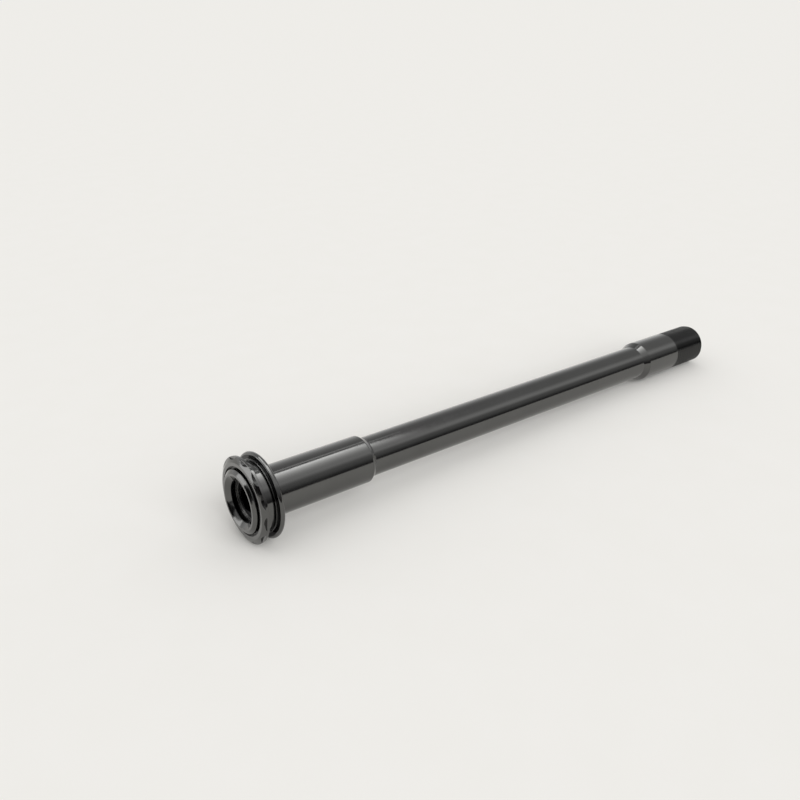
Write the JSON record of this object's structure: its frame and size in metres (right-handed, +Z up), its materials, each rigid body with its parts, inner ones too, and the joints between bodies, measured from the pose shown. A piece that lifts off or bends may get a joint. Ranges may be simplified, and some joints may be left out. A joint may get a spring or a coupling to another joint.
{
  "type": "bicycle thru axle",
  "caption": "Slim threaded bicycle axle with a relieved shaft, a fluted round head with a hexagon key socket and a flange washer that turns under the head.",
  "frame": {"origin": "on the axle's axis, in the plane of the washer's seat face that bears on the frame end", "axes": "+X along the axis from the head to the threaded tail, +Z up as the axle lies on a table"},
  "size_m": [0.1703, 0.0207, 0.0206],
  "materials": {
    "black_anodised_bar": "turned, glossy black anodised",
    "black_anodised_washer": "turned, glossy black anodised"
  },
  "bodies": {
    "axle": {"axle_bolt": "black_anodised_bar"},
    "washer": {"flange_washer": "black_anodised_washer"}
  },
  "joints": [
    {"name": "washer_spin", "type": "hinge", "parent": "axle", "child": "washer", "pos_m": [0, 0, 0], "axis": [1, 0, 0], "continuous": true}
  ]
}
